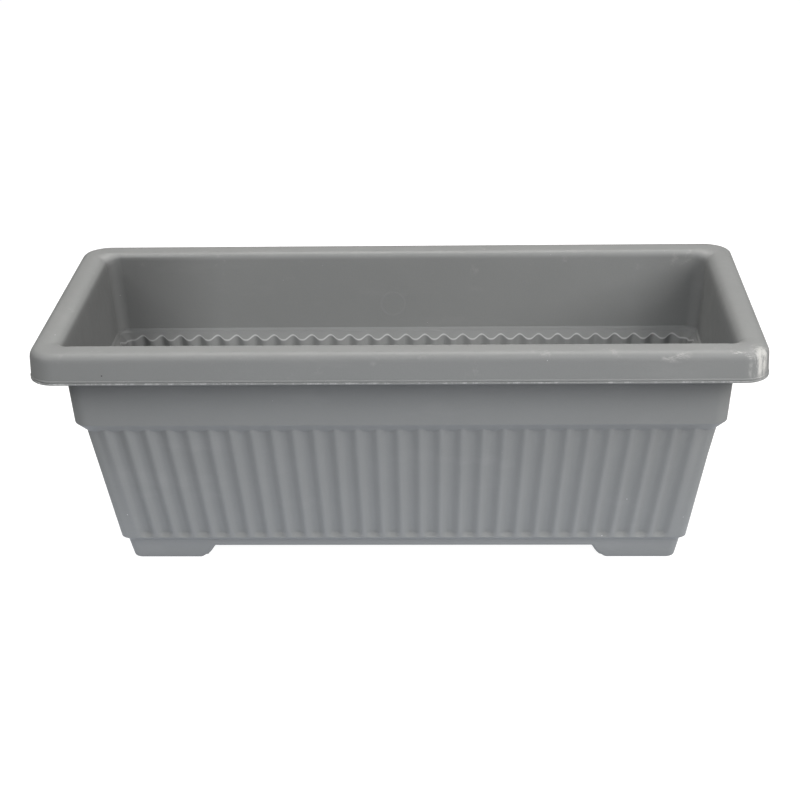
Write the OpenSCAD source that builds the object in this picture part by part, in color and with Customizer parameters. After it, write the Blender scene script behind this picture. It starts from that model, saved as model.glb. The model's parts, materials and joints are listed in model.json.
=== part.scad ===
// Self-watering window-box planter: a one-piece fluted trough with a rolled
// rim, and a lift-out watering insert that turns its lower part into a
// reservoir. Millimetres. +Z is up, +X runs along the length and -Y is the
// front. The origin is the centre of the footprint, on the feet's plane.

/* [Trough] */
// Length over the rim
rim_len = 600; // [590:1:620]
// Width over the rim
rim_wid = 275; // [272:1:285]
// Height from the feet to the top of the rim
total_h = 217; // [215:1:222]
// Wall thickness of the moulding
wall = 2.6; // [2.4:0.1:2.8]
// Height of the rim's outer skirt
skirt_h = 25.8; // [24:0.2:30]
// Plan radius of the rim's corners
rim_r = 22; // [20:0.5:26]
// Plan radius of the corners of the smooth band below the rim
band_r = 13; // [12:0.5:14]
// Height of the four feet below the floor
foot_h = 13; // [12:0.2:14]

/* [Ribs] */
// Height at which the ribs' crests meet the shoulder
shoulder_z = 136.8; // [135:0.2:138]
// Inset of the crests at the shoulder, from the rim's outer face
shoulder_in = 33.2; // [32.4:0.2:33.8]
// Inset of the crests at the bottom of the ribbed wall
lip_in = 55.2; // [54.8:0.1:55.6]
// Height of the ribbed wall's lower edge
lip_z = 22.4; // [22:0.1:23]
// Depth of the flutes between the ribs
flute_d = 4.3; // [3:0.1:4.4]
// Ribs on a long side
front_ribs = 29; // [25:1:30]
// Ribs on a short side
side_ribs = 10; // [8:1:10]
// Exponent of the crest's cosine, larger for a narrower crest
crest_power = 1.3; // [1:0.1:2]

/* [Watering insert] */
// Underside of the platform
deck_z = 56; // [56:0.5:58]
// Thickness of the platform
deck_t = 2.6; // [2.4:0.1:3]
// Height of the filler tube's mouth
fill_top = 176; // [170:1:178]
// Outside radius of the filler tube
fill_r = 15; // [14:0.5:15.5]
// Height at which the reservoir overflows
water_z = 48; // [44:0.5:48]
// Opening angle of the filler's lid, 0 when shut
lid_angle = 0; // [0:5:110]
// Rise of the level float, 0 when empty
float_rise = 0; // [0:0.5:23]

/* [Hidden] */

// Clearances: between fixed pieces, and of a pin in its running bore
gap = 0.05;
run_gap = 0.05;

// Trough profile. Insets are measured inward from the rim's outer face
floor_t = 3;
floor_top = foot_h + floor_t;
corner_steps = 8;
arc_n = corner_steps + 1;
outer_k = 6;
inner_k = 4;
rim_fillet = 7;
skirt_draft = 0.6;
inner_fillet = 6;
rim_in = 26.5;
edge_in = shoulder_in - 4.8;
shoulder_slope = 0.8;
edge_z = shoulder_z + 6;
band_in = edge_in - 0.6;
band_z = edge_z + 6;
ledge_dz = 2.9;
inner_lift = 3.2;
lip_h = 4.6;
scoop_h = 4;
lip_top = lip_z + lip_h;
base_in = 60.4;

// Corners of the ribbed wall: behind the crests at the shoulder, level with
// them at the lip, and rounded by corner_r0 above and corner_r1 below
corner_out = 0.9 * flute_d;
corner_in = shoulder_in + corner_out;
corner_z = shoulder_z - corner_out * shoulder_slope;
corner_r0 = 10;
corner_r1 = 8;
end_gap = 0.2;

// Feet
foot_in = base_in + 0.2;
foot_inner_x = 172.4;
foot_inner_y = 36;
foot_ramp = 6.5;
foot_wall = 3;

// Floor fittings
drain_x = -45;
drain_r = 10;
over_x = 45;
over_r = 8;

// Insert layout
deck_top = deck_z + deck_t;
deck_hx = rim_len / 2 - 58.6;
deck_hy = rim_wid / 2 - 58.6;
deck_r = 10;
cup_x = 105;
cup_y = 2;
cup_r = 27.6;
cup_foot_r = 21.6;
cup_z = 18;
cup_wall = 1.6;
fill_x = 208;
fill_y = fill_r + 5.9 - deck_hy;
fill_wall = 1.8;
gauge_x = 168;
gauge_y = -52;
cage_r = 18;
cage_z = 17.5;
tube_r = 9;
tube_wall = 1.4;
tube_top = 168;
float_h = 14;
float_z = cage_z + 1.6 + 0.2;
rod_r = 1.5;
flag_z = 140;
post_xy = [[-155, -52], [-50, -52], [50, -52], [118, -52], [-155, 52],
    [-50, 52], [50, 52], [155, 52], [-214, 0], [214, 0]];
spigot_r = 7.2;
slot_len = 16;
slot_w = 3;
slot_pitch_x = 24;
slot_pitch_y = 12;
rib_y = 32;
upstand_h = 8;
tab_w = 30;
tab_h = 6;

// Lid hinge, parallel to X on the front side of the filler
hinge_y = fill_y - fill_r - 7.5;
hinge_z = fill_top + 2;
pin_r = 1.5;
knuckle_r = 3.5;
knuckle_w = 12;

$fn = 64;

// ---- Trough ---------------------------------------------------------------

// Relief of the ribbed wall at phase u, 1 on a crest and 0 in a flute
function relief(u) = pow((1 + cos(360 * u)) / 2, crest_power);

// Value at height z of a line from a at the height za to b at the lip's top
function down_to_lip(a, za, b, z) = a + (b - a) * (za - z) / (za - lip_top);

function crest_at(z) = down_to_lip(shoulder_in, shoulder_z, lip_in, z);
function corner_at(z) = down_to_lip(corner_in, corner_z, lip_in, z);
function radius_at(z) = down_to_lip(corner_r0, corner_z, corner_r1, z);

// Turns a point of the front side by s quarter turns
function quarter(s, p) =
    s == 0 ? p : s == 1 ? [-p.y, p.x] : s == 2 ? [-p.x, -p.y] : [p.y, -p.x];

function ribs(s) = s % 2 == 0 ? front_ribs : side_ribs;
function samples(s, k) = k == 0 ? 0 : ribs(s) * k + 1;
function block(s, k) = s == 0 ? 0 : block(s - 1, k) + samples(s - 1, k) + arc_n;

// A closed ring of points at the corners' inset and height: k samples per rib
// on the sides (none when k is 0). Crests stand out by out, flutes lie depth
// behind the crests, and z drops by drop for each millimetre of inset
function ring(inset, z, r, k = 0, out = 0, depth = 0, drop = 0) = [
    for (s = [0:3])
        let (
            half = (s % 2 == 0 ? rim_len : rim_wid) / 2 - inset,
            dist = (s % 2 == 0 ? rim_wid : rim_len) / 2 - inset,
            n = ribs(s),
            pitch = 2 * (half - r - end_gap) / n
        )
        each concat(
            k == 0 ? [] : [
                for (i = [0:n * k])
                    let (
                        low = min(i, n * k - i) < k / 2 ? out : depth,
                        cut = low * (1 - relief(i / k - 0.5)) - out,
                        p = quarter(s, [(i / k - n / 2) * pitch, cut - dist])
                    )
                    [p.x, p.y, z - drop * cut]
            ],
            [
                for (j = [0:corner_steps])
                    let (
                        a = 90 * j / corner_steps - 90,
                        p = quarter(s, [half - r + r * cos(a), r - dist + r * sin(a)])
                    )
                    [p.x, p.y, z]
            ]
        )
];

// Point indices along side s, from the corner before it to the one after
function chain(off, k, s) = concat(
    [off + block((s + 3) % 4, k) + samples((s + 3) % 4, k) + corner_steps],
    [for (i = [0:samples(s, k)]) off + block(s, k) + i]
);

// Triangles between two chains, fanned where only one of them is sampled
function side_faces(a, b) =
    let (na = len(a), nb = len(b), mid = floor(max(na, nb) / 2))
    na == nb ? [
        for (i = [0:na - 2], t = [0, 1])
            t == 0 ? [a[i], a[i + 1], b[i + 1]] : [a[i], b[i + 1], b[i]]
    ]
    : na < nb ? concat(
        [for (i = [0:nb - 2]) [i < mid ? a[0] : a[1], b[i + 1], b[i]]],
        [[a[0], a[1], b[mid]]]
    )
    : concat(
        [for (i = [0:na - 2]) [a[i], a[i + 1], i < mid ? b[0] : b[1]]],
        [[a[mid], b[1], b[0]]]
    );

function strip_faces(ao, ka, bo, kb) = [
    for (s = [0:3]) each concat(
        side_faces(chain(ao, ka, s), chain(bo, kb, s)),
        side_faces(
            [for (j = [0:corner_steps]) ao + block(s, ka) + samples(s, ka) + j],
            [for (j = [0:corner_steps]) bo + block(s, kb) + samples(s, kb) + j]
        )
    )
];

// Start of ring i in the point list, for rings given by their sample counts
function start(ks, i) = i == 0 ? 0 : start(ks, i - 1) + block(4, ks[i - 1]);

// Points of a quarter-round in the wall's section, as [inset, z] pairs
function round_at(cx, cz, r, a0, a1, n = 3) =
    [for (i = [0:n]) let (a = a0 + (a1 - a0) * i / n) [cx + r * cos(a), cz + r * sin(a)]];

// A ribbed ring at height z, moved in by wall for the inner face
function ribbed(z, k, in = 0) = [
    corner_at(z) + in, z, radius_at(z) - in, k, corner_at(z) - crest_at(z), flute_d, 0
];

// The trough's wall as rings: up the inside, over the rim, down the outside
module shell() {
    scoop_top = lip_top + scoop_h;
    sections = concat(
        [
            [base_in + 4.6, floor_top, 7, 0, 0, 0, 0],
            [base_in + wall, floor_top + 5, 7, 0, 0, 0, 0],
            [base_in + 1, lip_top, 6, inner_k, 0, 0, 0],
            ribbed(scoop_top + 2, inner_k, wall),
            [corner_in + wall, corner_z + inner_lift, corner_r0 - wall, inner_k,
                corner_out, flute_d, shoulder_slope],
            [edge_in + wall, edge_z + ledge_dz, band_r - wall, inner_k, 0, 0, 0],
            [band_in + wall, band_z + 2, band_r - wall, 0, 0, 0, 0]
        ],
        [
            for (p = round_at(rim_in - inner_fillet, total_h - inner_fillet,
                inner_fillet, 0, 90)) [p.x, p.y, 12, 0, 0, 0, 0]
        ],
        [
            for (p = round_at(rim_fillet + skirt_draft, total_h - rim_fillet,
                rim_fillet, 90, 180)) [p.x, p.y, rim_r - p.x * 0.5, 0, 0, 0, 0]
        ],
        [
            [0, total_h - skirt_h, rim_r, 0, 0, 0, 0],
            [wall, total_h - skirt_h, rim_r - wall, 0, 0, 0, 0],
            [wall + 1, total_h - rim_fillet, rim_r - wall, 0, 0, 0, 0],
            [rim_fillet, total_h - wall - 0.4, rim_r - rim_fillet, 0, 0, 0, 0],
            [rim_in - 5.2, total_h - wall - 0.4, 14, 0, 0, 0, 0],
            [rim_in - wall - 1, total_h - 9, band_r, 0, 0, 0, 0],
            [band_in, band_z, band_r, 0, 0, 0, 0],
            [edge_in, edge_z, band_r, outer_k, 0, 0, 0],
            [corner_in, corner_z, corner_r0, outer_k, corner_out, flute_d, shoulder_slope],
            ribbed(scoop_top, outer_k),
            [lip_in, lip_top, corner_r1, outer_k, 0, 0, 0],
            [lip_in + 0.4, lip_z + 0.5, corner_r1, 0, 0, 0, 0],
            [base_in - 0.6, lip_z - 3.6, corner_r1, 0, 0, 0, 0],
            [base_in, foot_h, corner_r1, 0, 0, 0, 0]
        ]
    );
    ks = [for (v = sections) v[3]];
    last = len(sections) - 1;
    points = [for (v = sections) each ring(v[0], v[1], v[2], v[3], v[4], v[5], v[6])];
    faces = concat(
        [[for (i = [block(4, 0) - 1:-1:0]) i]],
        [for (i = [0:last - 1]) each strip_faces(start(ks, i), ks[i], start(ks, i + 1), ks[i + 1])],
        [[for (i = [0:block(4, 0) - 1]) start(ks, last) + i]]
    );
    polyhedron(points = points, faces = faces, convexity = 6);
}

// One ring of a foot: outer corner at ox, oy, inner ends at ix, iy
function foot_ring(ox, oy, ix, iy, z, r, n = 4) = [
    for (c = [[ix, iy, 180], [ox, iy, 270], [ox, oy, 0], [ix, oy, 90]], j = [0:n])
        let (
            a = c[2] + 90 * j / n,
            cx = c[0] + (c[0] == ix ? r : -r),
            cy = c[1] + (c[1] == iy ? r : -r)
        )
        [cx + r * cos(a), cy + r * sin(a), z]
];

// Outside of a foot, in the corner +X +Y
module foot_block() {
    hx = rim_len / 2 - foot_in;
    hy = rim_wid / 2 - foot_in;
    levels = [[0.6, 0, 0], [-0.9 * foot_h, 2.1, 1], [-foot_h, 3.8, 1.2]];
    rings = [
        for (v = levels)
            let (ramp = foot_ramp * v[2])
            foot_ring(hx - v[1], hy - v[1], foot_inner_x - foot_ramp + ramp,
                foot_inner_y - foot_ramp + ramp, foot_h + v[0], 7)
    ];
    n = len(rings[0]);
    faces = concat(
        [[for (i = [n - 1:-1:0]) i]],
        [
            for (k = [0:len(levels) - 2], i = [0:n - 1], t = [0, 1])
                let (a = k * n + i, b = k * n + (i + 1) % n)
                t == 0 ? [a, b, b + n] : [a, b + n, a + n]
        ],
        [[for (i = [0:n - 1]) (len(levels) - 1) * n + i]]
    );
    polyhedron(points = [for (v = rings) each v], faces = faces);
}

// A box with rounded upright edges
module round_box(x0, y0, x1, y1, z0, z1, r) {
    translate([0, 0, z0]) linear_extrude(z1 - z0) {
        translate([x0 + r, y0]) square([x1 - x0 - 2 * r, y1 - y0]);
        translate([x0, y0 + r]) square([x1 - x0, y1 - y0 - 2 * r]);
        for (x = [x0 + r, x1 - r], y = [y0 + r, y1 - r])
            translate([x, y]) circle(r);
    }
}

module corners() {
    for (mx = [0, 1], my = [0, 1])
        mirror([mx, 0, 0]) mirror([0, my, 0]) children();
}

module trough() {
    color([0.5, 0.51, 0.515]) difference() {
        union() {
            shell();
            corners() foot_block();
        }
        corners() round_box(foot_inner_x + foot_wall, foot_inner_y + foot_wall,
            rim_len / 2 - foot_in - foot_wall - 3, rim_wid / 2 - foot_in - foot_wall - 3,
            foot_wall, floor_top + 1, 5);
        translate([drain_x, 0, foot_h - 1]) cylinder(r = drain_r, h = floor_t + 2);
        translate([over_x, 0, foot_h - 1]) cylinder(r = over_r, h = floor_t + 2);
    }
}

// ---- Watering insert ------------------------------------------------------

// Places children at the left (-1) or right (1) wicking cup
module at_cup(side) {
    translate([side * cup_x, cup_y, 0]) children();
}

// Distance from a slot to the nearest fitting that the platform carries
function clear_of_fittings(x, y) =
    min([
        for (f = concat(
            [for (p = post_xy) [p.x, p.y, 13]],
            [for (s = [-1, 1]) [s * cup_x, cup_y, cup_r + 6]],
            [[fill_x, fill_y, fill_r + 6], [gauge_x, gauge_y, cage_r + 5]]
        )) norm([max(abs(x - f[0]) - slot_len / 2, 0), y - f[1]]) - f[2]
    ]);

module deck_outline(inset) {
    r = deck_r - inset;
    hx = deck_hx - inset;
    hy = deck_hy - inset;
    square([2 * hx - 2 * r, 2 * hy], center = true);
    square([2 * hx, 2 * hy - 2 * r], center = true);
    for (x = [r - hx, hx - r], y = [r - hy, hy - r])
        translate([x, y]) circle(r);
}

module slot() {
    square([slot_len - slot_w, slot_w], center = true);
    for (s = [-1, 1])
        translate([s * (slot_len - slot_w) / 2, 0]) circle(slot_w / 2, $fn = 24);
}

module deck_slots() {
    for (i = [-9:9], j = [-5:5])
        let (x = i * slot_pitch_x, y = j * slot_pitch_y)
        if (clear_of_fittings(x, y) > 1.5 && abs(abs(y) - rib_y) > 4)
            translate([x, y]) slot();
}

module reservoir_platform() {
    color([0.16, 0.17, 0.17]) union() {
        translate([0, 0, deck_z]) linear_extrude(deck_t) difference() {
            deck_outline(0);
            deck_slots();
            for (s = [-1, 1])
                translate([s * cup_x, cup_y]) circle(cup_r + 0.6);
            translate([fill_x, fill_y]) circle(fill_r + 0.3);
            translate([gauge_x, gauge_y]) circle(cage_r + 0.3);
        }
        translate([0, 0, deck_z]) linear_extrude(deck_t + upstand_h) difference() {
            deck_outline(0);
            deck_outline(2);
        }
        for (y = [-rib_y, rib_y])
            translate([0, y, deck_z - 3]) cube([2 * deck_hx - 8, 2, 6.4], center = true);
        for (p = post_xy)
            translate([p.x, p.y, deck_z - 8]) cylinder(r = spigot_r, h = 8.4);
        for (s = [-1, 1])
            lift_tab(s);
    }
}

// Finger tab that the insert is lifted by
module lift_tab(side) {
    translate([side * (deck_hx - 1), 0, deck_z + deck_t / 2]) rotate([90, 0, 90])
        linear_extrude(2, center = true) difference() {
            union() {
                translate([-tab_w / 2, 0]) square([tab_w, tab_h]);
                translate([0, tab_h]) circle(tab_w / 2);
            }
            translate([0, tab_h + 2]) circle(tab_w / 2 - 6);
        }
}

module support_posts() {
    post_r = spigot_r + 1.7;
    color([0.18, 0.19, 0.19])
        for (p = post_xy)
            translate([p.x, p.y, floor_top + gap]) difference() {
                union() {
                    cylinder(r = 13, h = 2);
                    cylinder(r = post_r, h = deck_z - floor_top - 2 * gap);
                }
                translate([0, 0, 2.5]) cylinder(r = spigot_r + gap, h = deck_z);
            }
}

module wick_cup() {
    slot_h = 22;
    color([0.2, 0.21, 0.21]) difference() {
        rotate_extrude() {
            h = deck_top + gap - cup_z;
            polygon([
                [0, cup_z], [cup_foot_r, cup_z], [cup_r, cup_z + h],
                [cup_r + 4, cup_z + h], [cup_r + 4, cup_z + h + cup_wall],
                [cup_r - cup_wall, cup_z + h + cup_wall],
                [cup_foot_r - cup_wall, cup_z + cup_wall], [0, cup_z + cup_wall]
            ]);
        }
        for (i = [0:11])
            rotate([0, 0, i * 30 + 15])
                translate([cup_foot_r - 6, -1.6, cup_z + 8]) cube([12, 3.2, slot_h]);
        for (i = [0:5])
            rotate([0, 0, i * 60]) translate([12, 0, cup_z - 1]) cylinder(r = 2, h = 4, $fn = 24);
    }
}

// Strip of felt, folded down into the cup with its tails on the platform
module felt_wick() {
    felt_t = 3;
    felt_w = 26;
    top = deck_top + cup_wall + 4 * gap;
    low = cup_z + cup_wall + 0.4;
    color([0.85, 0.84, 0.8]) rotate([90, 0, 90]) linear_extrude(felt_w, center = true)
        polygon([
            [-52, top], [-20.5, top], [-14, low], [14, low], [20.5, top], [52, top],
            [52, top + felt_t], [17.6, top + felt_t], [11.5, low + felt_t],
            [-11.5, low + felt_t], [-17.6, top + felt_t], [-52, top + felt_t]
        ]);
}

module fill_tube() {
    end_z = floor_top + 9;
    flare = 3;
    ear_w = 3;
    color([0.16, 0.17, 0.17]) union() {
        translate([fill_x, fill_y, 0]) difference() {
            rotate_extrude() polygon([
                [fill_r - fill_wall, end_z], [fill_r, end_z], [fill_r, deck_top + gap],
                [fill_r + 3.4, deck_top + gap], [fill_r + 3.4, deck_top + 2],
                [fill_r, deck_top + 3], [fill_r, fill_top - 12],
                [fill_r + flare, fill_top - 3], [fill_r + flare, fill_top],
                [fill_r + flare - fill_wall, fill_top],
                [fill_r + flare - fill_wall, fill_top - 3],
                [fill_r - fill_wall, fill_top - 12]
            ]);
            for (i = [0:3])
                rotate([0, 0, i * 45]) translate([-20, -2, end_z - 1]) cube([40, 4, 13]);
        }
        for (s = [-1, 1])
            translate([fill_x + s * (knuckle_w / 2 + 0.4 + ear_w / 2), 0, 0])
                hinge_ear(ear_w);
    }
}

// One ear of the filler's hinge, with the pin's bore
module hinge_ear(w) {
    rotate([90, 0, 90]) linear_extrude(w, center = true) difference() {
        union() {
            translate([hinge_y, hinge_z]) circle(knuckle_r + 0.5);
            polygon([
                [hinge_y - knuckle_r - 0.5, hinge_z], [hinge_y - 1, hinge_z - 9],
                [fill_y - fill_r + 0.8, hinge_z - 15], [fill_y - fill_r - 2.4, hinge_z - 3.2],
                [hinge_y + knuckle_r + 0.5, hinge_z]
            ]);
        }
        translate([hinge_y, hinge_z]) circle(pin_r + gap);
    }
}

module fill_lid() {
    lid_r = fill_r + 3.4;
    low = fill_top + 0.1;
    color([0.12, 0.3, 0.5])
    translate([0, hinge_y, hinge_z]) rotate([lid_angle, 0, 0])
    translate([0, -hinge_y, -hinge_z]) difference() {
        union() {
            translate([fill_x, fill_y, low]) cylinder(r = lid_r, h = 2.2);
            translate([fill_x, fill_y, low - 3]) difference() {
                cylinder(r = 12.2, h = 3.4);
                translate([0, 0, -1]) cylinder(r = 10.8, h = 6);
            }
            translate([fill_x - 7, fill_y + lid_r - 2, low]) cube([14, 7, 2.2]);
            translate([fill_x - knuckle_w / 2, hinge_y, low])
                cube([knuckle_w, fill_r, 2.2]);
            translate([fill_x - knuckle_w / 2, hinge_y, hinge_z]) rotate([0, 90, 0])
                cylinder(r = knuckle_r, h = knuckle_w);
        }
        translate([fill_x - knuckle_w, hinge_y, hinge_z]) rotate([0, 90, 0])
            cylinder(r = pin_r + run_gap, h = 2 * knuckle_w);
    }
}

module lid_hinge_pin() {
    pin_l = knuckle_w + 8.4;
    color([0.75, 0.75, 0.76]) translate([fill_x - pin_l / 2, hinge_y, hinge_z])
        rotate([0, 90, 0]) {
            cylinder(r = pin_r, h = pin_l);
            translate([0, 0, -1.2]) cylinder(r = 2.6, h = 1.2);
        }
}

// Clip that ties the gauge to the filler
module tube_clip() {
    clip_z = 140;
    clip_h = 12;
    clip_t = 2.4;
    color([0.18, 0.19, 0.19]) translate([0, 0, clip_z]) difference() {
        union() {
            translate([fill_x, fill_y, 0]) cylinder(r = fill_r + clip_t, h = clip_h);
            translate([gauge_x, gauge_y, 0]) cylinder(r = tube_r + clip_t, h = clip_h);
            translate([gauge_x, gauge_y - 2, 0]) cube([fill_x - gauge_x, 5, clip_h]);
        }
        translate([fill_x, fill_y, -1]) cylinder(r = fill_r + 2 * gap, h = clip_h + 2);
        translate([gauge_x, gauge_y, -1]) cylinder(r = tube_r + 2 * gap, h = clip_h + 2);
    }
}

module at_gauge() {
    translate([gauge_x, gauge_y, 0]) children();
}

module float_cage() {
    flange_z = deck_top + gap;
    color([0.2, 0.21, 0.21]) at_gauge() difference() {
        rotate_extrude() polygon([
            [0, cage_z], [cage_r, cage_z], [cage_r, flange_z], [cage_r + 2.6, flange_z],
            [cage_r + 2.6, flange_z + 1.6], [cage_r - 1.6, flange_z + 1.6],
            [cage_r - 1.6, cage_z + 1.6], [0, cage_z + 1.6]
        ]);
        for (i = [0:4])
            rotate([0, 0, i * 36]) translate([-25, -2.5, cage_z + 4]) cube([50, 5, 24]);
        translate([0, 0, cage_z - 1]) cylinder(r = 6, h = 4);
    }
}

// The float, its rod and its flag move together by float_rise
module float_part() {
    at_gauge() translate([0, 0, float_z + float_rise]) children();
}

module gauge_float() {
    color([0.95, 0.94, 0.9]) float_part() rotate_extrude() polygon([
        [rod_r + gap, 0], [13, 0], [15, 2], [15, float_h - 2], [13, float_h],
        [rod_r + gap, float_h]
    ]);
}

module float_rod() {
    color([0.8, 0.8, 0.8]) float_part()
        cylinder(r = rod_r, h = flag_z - float_z + 4, $fn = 32);
}

module level_flag() {
    color([0.8, 0.12, 0.1]) float_part() translate([0, 0, flag_z - float_z])
        rotate_extrude() polygon([
            [rod_r + gap, 0], [6, 0], [6.6, 1], [6.6, 11], [5, 13.5], [0, 14],
            [0, 4 + gap], [rod_r + gap, 4 + gap]
        ]);
}

module gauge_tube() {
    low = deck_top + 1.6 + 2 * gap;
    color([0.85, 0.9, 0.92, 0.4]) at_gauge() rotate_extrude() polygon([
        [rod_r + 0.4, low], [cage_r + 2.6, low], [cage_r + 2.6, low + 1.8],
        [tube_r + 1.5, low + 1.8], [tube_r, low + 4], [tube_r, tube_top],
        [tube_r - tube_wall, tube_top], [tube_r - tube_wall, low + 1.8],
        [rod_r + 0.4, low + 1.8]
    ]);
}

module gauge_cap() {
    low = tube_top - 8;
    dome_z = tube_top + 4;
    cap_r = tube_r + 1.6;
    color([0.85, 0.9, 0.92, 0.4]) at_gauge() rotate_extrude() difference() {
        union() {
            translate([0, low]) square([cap_r, dome_z - low]);
            intersection() {
                translate([0, dome_z]) circle(cap_r);
                translate([0, dome_z]) square(cap_r + 1);
            }
        }
        translate([-1, low - 1]) square([tube_r + gap + 1, tube_top + gap - low + 1]);
        translate([-1, low]) square([tube_r - 0.6 + 1, dome_z - low]);
        intersection() {
            translate([0, dome_z - 0.1]) circle(tube_r - 0.6);
            translate([-1, dome_z - 0.2]) square(tube_r + 2);
        }
        translate([-20, 0]) square([20, 400]);
    }
}

// ---- Floor fittings -------------------------------------------------------

module overflow_pipe() {
    color([0.16, 0.17, 0.17]) translate([over_x, 0, 0]) rotate_extrude() polygon([
        [4.6, 6], [6, 6], [6, floor_top + 3], [9, floor_top + 3], [9, floor_top + 4.6],
        [6, floor_top + 5.6], [6, water_z], [4.6, water_z]
    ]);
}

module overflow_strainer() {
    low = water_z - 6;
    top = deck_z - 2;
    color([0.2, 0.21, 0.21]) translate([over_x, 0, 0]) difference() {
        rotate_extrude() polygon([
            [6 + gap, low], [9.5, low], [9.5, top - 2], [7.5, top], [0, top],
            [0, top - 1.6], [7.9, top - 1.6], [7.9, water_z - 2], [6 + gap, water_z - 2]
        ]);
        for (i = [0:3])
            rotate([0, 0, i * 45]) translate([-12, -1.2, water_z - 0.5]) cube([24, 2.4, 4]);
    }
}

module overflow_grommet() {
    color([0.08, 0.08, 0.08]) translate([over_x, 0, 0]) rotate_extrude() polygon([
        [6 + gap, foot_h - 2.5], [10, foot_h - 2.5], [11, foot_h - gap],
        [over_r - gap, foot_h - gap], [over_r - gap, floor_top + gap],
        [11, floor_top + gap], [10, floor_top + 2.9], [6 + gap, floor_top + 2.9]
    ]);
}

module drain_plug() {
    stem_r = drain_r - 0.2;
    head_z = foot_h - 4.6;
    color([0.12, 0.3, 0.5]) translate([drain_x, 0, 0]) union() {
        rotate_extrude() polygon([
            [0, head_z], [15, head_z], [15, head_z + 2.4], [stem_r, head_z + 2.4],
            [stem_r, floor_top + 2], [stem_r - 1.2, floor_top + 3.6],
            [stem_r - 2.6, floor_top + 3.6], [stem_r - 2.6, head_z + 2.6], [0, head_z + 2.6]
        ]);
        translate([-11, -1.5, head_z - 5]) cube([22, 3, 5.4]);
    }
}

module drain_seal_ring() {
    color([0.08, 0.08, 0.08]) translate([drain_x, 0, foot_h - 1.15])
        rotate_extrude() translate([drain_r + 1.6, 0]) circle(1);
}

trough();
reservoir_platform();
support_posts();
at_cup(-1) wick_cup();  // wick_cup_left
at_cup(1) wick_cup();  // wick_cup_right
at_cup(-1) felt_wick();  // felt_wick_left
at_cup(1) felt_wick();  // felt_wick_right
fill_tube();
fill_lid();
lid_hinge_pin();
tube_clip();
float_cage();
gauge_float();
float_rod();
level_flag();
gauge_tube();
gauge_cap();
overflow_pipe();
overflow_strainer();
overflow_grommet();
drain_plug();
drain_seal_ring();
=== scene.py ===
"""Looks of the self-watering planter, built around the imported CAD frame. Metres, +Z up, front at -Y."""

import json
import math
import random

import bmesh
import bpy
import numpy as np
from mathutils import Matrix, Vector


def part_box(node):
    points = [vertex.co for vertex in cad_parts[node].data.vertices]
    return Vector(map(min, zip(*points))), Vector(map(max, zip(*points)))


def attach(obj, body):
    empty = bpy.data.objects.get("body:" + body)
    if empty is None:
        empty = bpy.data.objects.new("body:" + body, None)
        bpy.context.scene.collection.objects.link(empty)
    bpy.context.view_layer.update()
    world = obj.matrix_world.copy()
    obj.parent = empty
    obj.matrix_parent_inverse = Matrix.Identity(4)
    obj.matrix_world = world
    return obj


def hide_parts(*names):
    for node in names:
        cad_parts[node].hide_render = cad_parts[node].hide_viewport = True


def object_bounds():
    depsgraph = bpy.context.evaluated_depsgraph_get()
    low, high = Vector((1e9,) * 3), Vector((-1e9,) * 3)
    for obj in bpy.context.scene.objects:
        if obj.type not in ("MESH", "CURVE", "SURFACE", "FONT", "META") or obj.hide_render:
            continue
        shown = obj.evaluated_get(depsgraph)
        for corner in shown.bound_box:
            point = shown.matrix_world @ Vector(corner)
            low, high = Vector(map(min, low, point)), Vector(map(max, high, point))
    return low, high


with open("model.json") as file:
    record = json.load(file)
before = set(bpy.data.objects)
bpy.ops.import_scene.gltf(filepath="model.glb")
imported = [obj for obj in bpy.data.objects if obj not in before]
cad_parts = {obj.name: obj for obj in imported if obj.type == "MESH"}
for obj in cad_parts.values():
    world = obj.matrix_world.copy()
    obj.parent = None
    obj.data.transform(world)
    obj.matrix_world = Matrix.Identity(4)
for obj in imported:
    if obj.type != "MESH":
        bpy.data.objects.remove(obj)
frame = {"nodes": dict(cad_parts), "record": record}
CAD_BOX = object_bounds()
MM = 0.001

# ---------------------------------------------------------------- small helpers


def smooth(t):
    """Smoothstep of a number or an array, clamped to 0..1."""
    t = np.clip(t, 0.0, 1.0)
    return t * t * (3 - 2 * t)


def ramp(value, start, end):
    """0 at start, 1 at end, straight between them."""
    return np.clip((value - start) / (end - start), 0.0, 1.0)


def new_mesh(name, points, faces, material, body, replaced=()):
    """A smooth-shaded mesh object that rides on a CAD body."""
    mesh = bpy.data.meshes.new(name)
    mesh.from_pydata([tuple(p) for p in points], [], faces)
    mesh.validate()
    mesh.shade_smooth()
    mesh.materials.append(material)
    obj = bpy.data.objects.new(name, mesh)
    bpy.context.scene.collection.objects.link(obj)
    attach(obj, body)
    if replaced:
        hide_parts(*replaced)
    return obj


# ---------------------------------------------------------------- materials


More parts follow.
